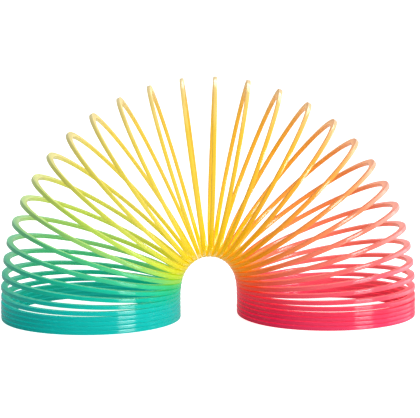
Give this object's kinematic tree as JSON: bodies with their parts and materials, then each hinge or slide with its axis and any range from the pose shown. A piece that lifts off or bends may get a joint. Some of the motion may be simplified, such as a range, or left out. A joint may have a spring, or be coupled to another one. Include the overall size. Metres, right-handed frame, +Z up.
{
  "type": "spring coil toy",
  "caption": "Plastic spring coil toy in a gradient of colours, standing as an arch on two closed stacks of flat turns that hinge open and shut like a fan.",
  "frame": {"origin": "on the floor, at the centre of the bounding box, midway between the two feet", "axes": "+X runs from the left foot to the right foot, +Y from the front of the arch to its back, and +Z is up"},
  "size_m": [0.1736, 0.075, 0.1003],
  "materials": {
    "teal": "smooth moulded plastic, glossy and slightly translucent",
    "sea_green": "smooth moulded plastic, glossy and slightly translucent",
    "green": "smooth moulded plastic, glossy and slightly translucent",
    "lime": "smooth moulded plastic, glossy and slightly translucent",
    "yellow": "smooth moulded plastic, glossy and slightly translucent",
    "gold": "smooth moulded plastic, glossy and slightly translucent",
    "orange": "smooth moulded plastic, glossy and slightly translucent",
    "coral": "smooth moulded plastic, glossy and slightly translucent",
    "pink": "smooth moulded plastic, glossy and slightly translucent"
  },
  "bodies": {
    "left_18": {"left_turn_18": "teal"},
    "left_17": {"left_turn_17": "teal"},
    "left_16": {"left_turn_16": "teal"},
    "left_15": {"left_turn_15": "teal"},
    "left_14": {"left_turn_14": "teal"},
    "left_13": {"left_turn_13": "sea_green"},
    "left_12": {"left_turn_12": "sea_green"},
    "left_11": {"left_turn_11": "sea_green"},
    "left_10": {"left_turn_10": "sea_green"},
    "left_09": {"left_turn_09": "green"},
    "left_08": {"left_turn_08": "green"},
    "left_07": {"left_turn_07": "green"},
    "left_06": {"left_turn_06": "lime"},
    "left_05": {"left_turn_05": "lime"},
    "left_04": {"left_turn_04": "lime"},
    "left_03": {"left_turn_03": "yellow"},
    "left_02": {"left_turn_02": "yellow"},
    "left_01": {"left_turn_01": "yellow"},
    "crown": {"crown_turn": "gold"},
    "right_01": {"right_turn_01": "gold"},
    "right_02": {"right_turn_02": "gold"},
    "right_03": {"right_turn_03": "orange"},
    "right_04": {"right_turn_04": "orange"},
    "right_05": {"right_turn_05": "orange"},
    "right_06": {"right_turn_06": "orange"},
    "right_07": {"right_turn_07": "coral"},
    "right_08": {"right_turn_08": "coral"},
    "right_09": {"right_turn_09": "coral"},
    "right_10": {"right_turn_10": "coral"},
    "right_11": {"right_turn_11": "coral"},
    "right_12": {"right_turn_12": "pink"},
    "right_13": {"right_turn_13": "pink"},
    "right_14": {"right_turn_14": "pink"},
    "right_15": {"right_turn_15": "pink"},
    "right_16": {"right_turn_16": "pink"},
    "right_17": {"right_turn_17": "pink"},
    "right_18": {"right_turn_18": "pink"}
  },
  "joints": [
    {"name": "bend_left_18", "type": "hinge", "parent": "left_18", "child": "left_17", "pos_m": [-0.01181, 0, 0.00255], "axis": [0, 1, 0], "range_deg": [0, 8.5], "stiffness_Nm_per_rad": 0.0234},
    {"name": "bend_left_17", "type": "hinge", "parent": "left_17", "child": "left_16", "pos_m": [-0.01181, 0, 0.0043], "axis": [0, 1, 0], "range_deg": [0, 8.5], "stiffness_Nm_per_rad": 0.0234},
    {"name": "bend_left_16", "type": "hinge", "parent": "left_16", "child": "left_15", "pos_m": [-0.01181, 0, 0.00606], "axis": [0, 1, 0], "range_deg": [-0.1, 8.4], "stiffness_Nm_per_rad": 0.0234},
    {"name": "bend_left_15", "type": "hinge", "parent": "left_15", "child": "left_14", "pos_m": [-0.01181, 0, 0.00781], "axis": [0, 1, 0], "range_deg": [-0.8, 7.8], "stiffness_Nm_per_rad": 0.0234, "springref_deg": -0.77},
    {"name": "bend_left_14", "type": "hinge", "parent": "left_14", "child": "left_13", "pos_m": [-0.01179, 0, 0.00947], "axis": [0, 1, 0], "range_deg": [-1.5, 6.9], "stiffness_Nm_per_rad": 0.0234, "springref_deg": -1.69},
    {"name": "bend_left_13", "type": "hinge", "parent": "left_13", "child": "left_12", "pos_m": [-0.01171, 0, 0.01113], "axis": [0, 1, 0], "range_deg": [-2.5, 6.1], "stiffness_Nm_per_rad": 0.0234, "springref_deg": -2.59},
    {"name": "bend_left_12", "type": "hinge", "parent": "left_12", "child": "left_11", "pos_m": [-0.01156, 0, 0.01278], "axis": [0, 1, 0], "range_deg": [-3.4, 5.3], "stiffness_Nm_per_rad": 0.0234, "springref_deg": -3.46},
    {"name": "bend_left_11", "type": "hinge", "parent": "left_11", "child": "left_10", "pos_m": [-0.0113, 0, 0.01442], "axis": [0, 1, 0], "range_deg": [-4.3, 4.6], "stiffness_Nm_per_rad": 0.0234, "springref_deg": -4.31},
    {"name": "bend_left_10", "type": "hinge", "parent": "left_10", "child": "left_09", "pos_m": [-0.01091, 0, 0.01603], "axis": [0, 1, 0], "range_deg": [-5.1, 3.9], "stiffness_Nm_per_rad": 0.0234, "springref_deg": -5.13},
    {"name": "bend_left_09", "type": "hinge", "parent": "left_09", "child": "left_08", "pos_m": [-0.01037, 0, 0.0176], "axis": [0, 1, 0], "range_deg": [-5.9, 3.2], "stiffness_Nm_per_rad": 0.0234, "springref_deg": -5.9},
    {"name": "bend_left_08", "type": "hinge", "parent": "left_08", "child": "left_07", "pos_m": [-0.00967, 0, 0.01911], "axis": [0, 1, 0], "range_deg": [-6.6, 2.6], "stiffness_Nm_per_rad": 0.0234, "springref_deg": -6.62},
    {"name": "bend_left_07", "type": "hinge", "parent": "left_07", "child": "left_06", "pos_m": [-0.0088, 0, 0.02052], "axis": [0, 1, 0], "range_deg": [-7.2, 2.1], "stiffness_Nm_per_rad": 0.0234, "springref_deg": -7.26},
    {"name": "bend_left_06", "type": "hinge", "parent": "left_06", "child": "left_05", "pos_m": [-0.00776, 0, 0.02181], "axis": [0, 1, 0], "range_deg": [-7.8, 1.6], "stiffness_Nm_per_rad": 0.0234, "springref_deg": -7.82},
    {"name": "bend_left_05", "type": "hinge", "parent": "left_05", "child": "left_04", "pos_m": [-0.00655, 0, 0.02294], "axis": [0, 1, 0], "range_deg": [-8.3, 1.2], "stiffness_Nm_per_rad": 0.0234, "springref_deg": -8.31},
    {"name": "bend_left_04", "type": "hinge", "parent": "left_04", "child": "left_03", "pos_m": [-0.00519, 0, 0.02389], "axis": [0, 1, 0], "range_deg": [-8.7, 0.8], "stiffness_Nm_per_rad": 0.0234, "springref_deg": -8.72},
    {"name": "bend_left_03", "type": "hinge", "parent": "left_03", "child": "left_02", "pos_m": [-0.00369, 0, 0.02461], "axis": [0, 1, 0], "range_deg": [-9, 0.6], "stiffness_Nm_per_rad": 0.0234, "springref_deg": -9.03},
    {"name": "bend_left_02", "type": "hinge", "parent": "left_02", "child": "left_01", "pos_m": [-0.00211, 0, 0.02509], "axis": [0, 1, 0], "range_deg": [-9.3, 0.4], "stiffness_Nm_per_rad": 0.0234, "springref_deg": -9.23},
    {"name": "bend_left_01", "type": "hinge", "parent": "left_01", "child": "crown", "pos_m": [-0.00046, 0, 0.0253], "axis": [0, 1, 0], "range_deg": [-9.4, 0.2], "stiffness_Nm_per_rad": 0.0234, "springref_deg": -9.31},
    {"name": "bend_right_01", "type": "hinge", "parent": "crown", "child": "right_01", "pos_m": [0.0012, 0, 0.02524], "axis": [0, 1, 0], "range_deg": [-9.4, 0.3], "stiffness_Nm_per_rad": 0.0234, "springref_deg": -9.57},
    {"name": "bend_right_02", "type": "hinge", "parent": "right_01", "child": "right_02", "pos_m": [0.00282, 0, 0.02491], "axis": [0, 1, 0], "range_deg": [-9.2, 0.4], "stiffness_Nm_per_rad": 0.0234, "springref_deg": -9.44},
    {"name": "bend_right_03", "type": "hinge", "parent": "right_02", "child": "right_03", "pos_m": [0.00437, 0, 0.02432], "axis": [0, 1, 0], "range_deg": [-8.9, 0.7], "stiffness_Nm_per_rad": 0.0234, "springref_deg": -9.18},
    {"name": "bend_right_04", "type": "hinge", "parent": "right_03", "child": "right_04", "pos_m": [0.00581, 0, 0.02349], "axis": [0, 1, 0], "range_deg": [-8.5, 1], "stiffness_Nm_per_rad": 0.0234, "springref_deg": -8.82},
    {"name": "bend_right_05", "type": "hinge", "parent": "right_04", "child": "right_05", "pos_m": [0.00711, 0, 0.02246], "axis": [0, 1, 0], "range_deg": [-8.1, 1.4], "stiffness_Nm_per_rad": 0.0234, "springref_deg": -8.39},
    {"name": "bend_right_06", "type": "hinge", "parent": "right_05", "child": "right_06", "pos_m": [0.00824, 0, 0.02125], "axis": [0, 1, 0], "range_deg": [-7.5, 1.8], "stiffness_Nm_per_rad": 0.0234, "springref_deg": -7.85},
    {"name": "bend_right_07", "type": "hinge", "parent": "right_06", "child": "right_07", "pos_m": [0.00921, 0, 0.0199], "axis": [0, 1, 0], "range_deg": [-6.9, 2.3], "stiffness_Nm_per_rad": 0.0234, "springref_deg": -7.26},
    {"name": "bend_right_08", "type": "hinge", "parent": "right_07", "child": "right_08", "pos_m": [0.01, 0, 0.01845], "axis": [0, 1, 0], "range_deg": [-6.3, 2.9], "stiffness_Nm_per_rad": 0.0234, "springref_deg": -6.57},
    {"name": "bend_right_09", "type": "hinge", "parent": "right_08", "child": "right_09", "pos_m": [0.01063, 0, 0.01691], "axis": [0, 1, 0], "range_deg": [-5.5, 3.5], "stiffness_Nm_per_rad": 0.0234, "springref_deg": -5.85},
    {"name": "bend_right_10", "type": "hinge", "parent": "right_09", "child": "right_10", "pos_m": [0.0111, 0, 0.01532], "axis": [0, 1, 0], "range_deg": [-4.7, 4.2], "stiffness_Nm_per_rad": 0.0234, "springref_deg": -5.05},
    {"name": "bend_right_11", "type": "hinge", "parent": "right_10", "child": "right_11", "pos_m": [0.01143, 0, 0.01369], "axis": [0, 1, 0], "range_deg": [-3.9, 4.9], "stiffness_Nm_per_rad": 0.0234, "springref_deg": -4.23},
    {"name": "bend_right_12", "type": "hinge", "parent": "right_11", "child": "right_12", "pos_m": [0.01164, 0, 0.01205], "axis": [0, 1, 0], "range_deg": [-3, 5.6], "stiffness_Nm_per_rad": 0.0234, "springref_deg": -3.36},
    {"name": "bend_right_13", "type": "hinge", "parent": "right_12", "child": "right_13", "pos_m": [0.01175, 0, 0.01039], "axis": [0, 1, 0], "range_deg": [-2.1, 6.4], "stiffness_Nm_per_rad": 0.0234, "springref_deg": -2.46},
    {"name": "bend_right_14", "type": "hinge", "parent": "right_13", "child": "right_14", "pos_m": [0.0118, 0, 0.00873], "axis": [0, 1, 0], "range_deg": [-1.1, 7.3], "stiffness_Nm_per_rad": 0.0234, "springref_deg": -1.56},
    {"name": "bend_right_15", "type": "hinge", "parent": "right_14", "child": "right_15", "pos_m": [0.01181, 0, 0.0069], "axis": [0, 1, 0], "range_deg": [-0.1, 8.2], "stiffness_Nm_per_rad": 0.0234, "springref_deg": -0.62},
    {"name": "bend_right_16", "type": "hinge", "parent": "right_15", "child": "right_16", "pos_m": [0.01181, 0, 0.00507], "axis": [0, 1, 0], "range_deg": [0, 8.5], "stiffness_Nm_per_rad": 0.0234},
    {"name": "bend_right_17", "type": "hinge", "parent": "right_16", "child": "right_17", "pos_m": [0.01181, 0, 0.00325], "axis": [0, 1, 0], "range_deg": [0, 8.5], "stiffness_Nm_per_rad": 0.0234},
    {"name": "bend_right_18", "type": "hinge", "parent": "right_17", "child": "right_18", "pos_m": [0.01181, 0, 0.00142], "axis": [0, 1, 0], "range_deg": [0, 8.5], "stiffness_Nm_per_rad": 0.0234}
  ]
}
